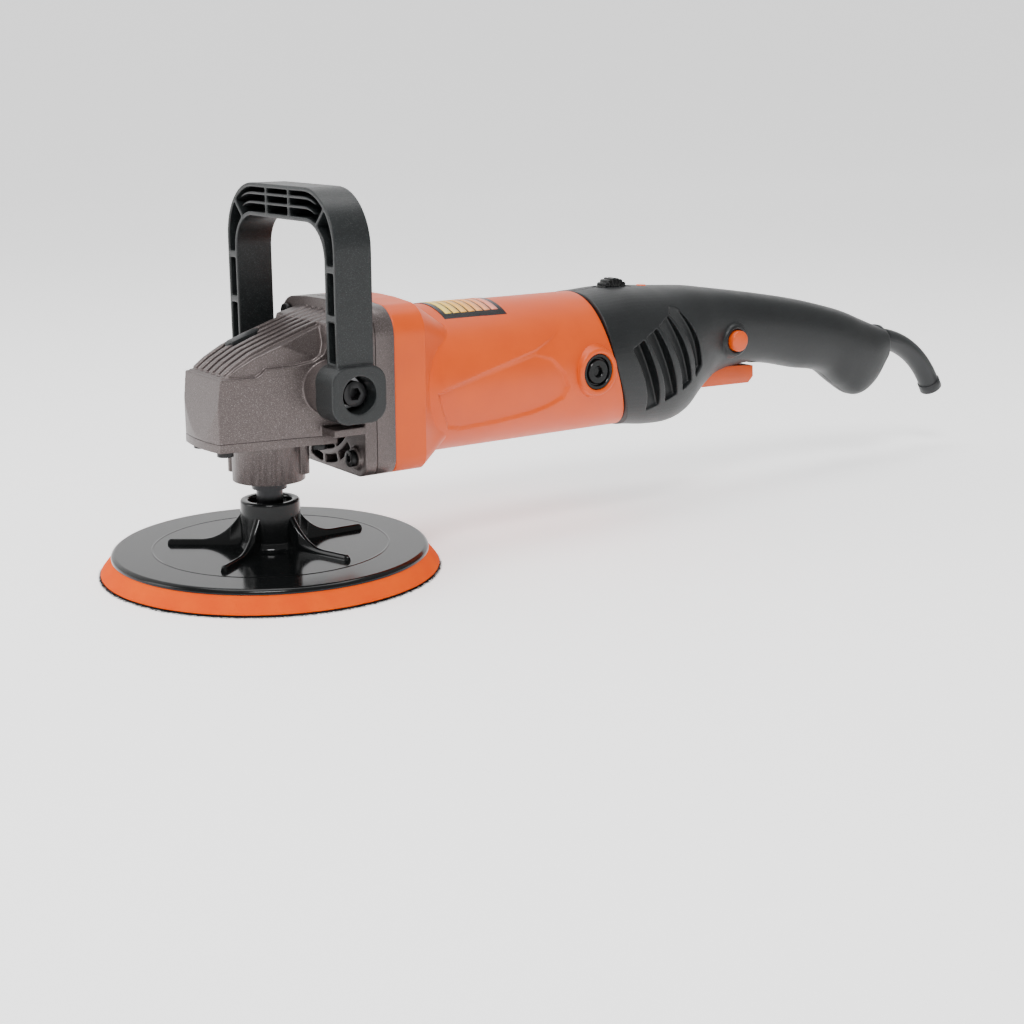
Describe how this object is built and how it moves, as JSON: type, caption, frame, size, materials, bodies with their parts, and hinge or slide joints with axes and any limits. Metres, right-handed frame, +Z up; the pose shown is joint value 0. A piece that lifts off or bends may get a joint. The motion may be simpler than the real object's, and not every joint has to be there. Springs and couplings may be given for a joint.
{
  "type": "rotary polisher",
  "caption": "Corded rotary polisher: ribbed grey gear case, orange motor housing, loop handle, black trigger handle and orange foam pad.",
  "frame": {"origin": "on the spindle axis, at the pad's working face", "axes": "+Z up along the spindle axis, +X from the spindle towards the rear handle"},
  "size_m": [0.62, 0.178, 0.1995],
  "materials": {
    "foam": "open-cell polyurethane foam, matt",
    "hook": "short hook pile",
    "black_plastic": "gloss moulded",
    "steel": "ground",
    "dark_steel": "black oxide",
    "gear_steel": "machined",
    "laminations": "stacked sheet",
    "copper": "enamelled copper",
    "inner_plastic": "moulded",
    "case_paint": "die casting under fine textured grey-brown paint",
    "black_steel": "black oxide",
    "seal_rubber": "moulded",
    "orange_plastic": "satin moulded",
    "brass": "pressed",
    "carbon": "pressed carbon",
    "label": "printed film with coloured bars",
    "grip_plastic": "fine textured",
    "circuit": "circuit board in resin",
    "orange_lens": "translucent",
    "guard_rubber": "smooth moulded",
    "loop_plastic": "glass-filled nylon",
    "control_plastic": "satin moulded"
  },
  "bodies": {
    "housing": {"gear_housing": "case_paint", "bearing_cover": "case_paint", "cover_screws": "black_steel", "spindle_seal": "seal_rubber", "spindle_bearing_lower": "steel", "spindle_circlip": "black_steel", "spindle_bearing_upper": "steel", "layshaft_bearing_front": "steel", "layshaft_bearing_rear": "steel", "armature_bearing_front": "steel", "armature_bearing_rear": "steel", "rear_bearing_sleeve": "seal_rubber", "motor_bracket": "case_paint", "flange_screws": "black_steel", "motor_housing": "orange_plastic", "fan_baffle": "inner_plastic", "stator_core": "laminations", "field_coils": "copper", "brush_holders": "brass", "carbon_brushes": "carbon", "brush_springs": "steel", "brush_caps": "black_plastic", "speed_label": "label", "handle_left": "grip_plastic", "handle_right": "grip_plastic", "handle_screws": "black_steel", "switch_body": "inner_plastic", "speed_module": "circuit", "power_light": "orange_lens", "cord_clamp": "inner_plastic", "cord_guard": "guard_rubber", "loop_handle": "loop_plastic", "handle_bolts": "black_steel", "handle_washers": "steel", "trigger_pin": "steel", "trigger_spring": "steel", "spindle_lock_spring": "steel"},
    "spindle_assembly": {"foam_pad": "foam", "hook_face": "hook", "backing_plate": "black_plastic", "threaded_insert": "steel", "spindle": "dark_steel", "spindle_spacer": "steel", "spindle_key": "steel", "bevel_gear": "gear_steel"},
    "layshaft": {"bevel_pinion_shaft": "gear_steel", "reduction_gear": "gear_steel"},
    "armature": {"armature_shaft": "steel", "armature_core": "laminations", "armature_windings": "copper", "commutator": "copper", "cooling_fan": "inner_plastic"},
    "trigger_body": {"trigger": "control_plastic"},
    "lock_on_body": {"lock_on_button": "control_plastic"},
    "dial_body": {"speed_dial": "black_plastic"},
    "spindle_lock_body": {"spindle_lock": "grip_plastic"}
  },
  "joints": [
    {"name": "spindle_spin", "type": "hinge", "parent": "housing", "child": "spindle_assembly", "pos_m": [0, 0, 0], "axis": [0, 0, 1], "continuous": true},
    {"name": "layshaft_spin", "type": "hinge", "parent": "housing", "child": "layshaft", "pos_m": [0, 0, 0.1118], "axis": [1, 0, 0], "continuous": true},
    {"name": "armature_spin", "type": "hinge", "parent": "housing", "child": "armature", "pos_m": [0, 0, 0.0923], "axis": [1, 0, 0], "continuous": true},
    {"name": "trigger_pull", "type": "hinge", "parent": "housing", "child": "trigger_body", "pos_m": [0.289, 0, 0.077], "axis": [0, -1, 0], "range_deg": [0, 7], "stiffness_Nm_per_rad": 0.6, "springref_deg": -6.88, "deforming": ["trigger_spring"]},
    {"name": "lock_on_press", "type": "slide", "parent": "housing", "child": "lock_on_body", "axis": [0, 1, 0], "range_m": [0, 0.003], "stiffness_N_per_m": 300, "springref_m": -0.003},
    {"name": "speed_turn", "type": "hinge", "parent": "housing", "child": "dial_body", "pos_m": [0.23, 0, 0.1284], "axis": [0, 1, 0], "range_deg": [-135, 135]},
    {"name": "spindle_lock_press", "type": "slide", "parent": "housing", "child": "spindle_lock_body", "axis": [0, 0, -1], "range_m": [0, 0.0035], "stiffness_N_per_m": 500, "springref_m": -0.004, "deforming": ["spindle_lock_spring"]}
  ],
  "couplings": [
    {"joint": "layshaft_spin", "follows": "spindle_spin", "ratio": 2.9},
    {"joint": "armature_spin", "follows": "spindle_spin", "ratio": -9.6667}
  ]
}
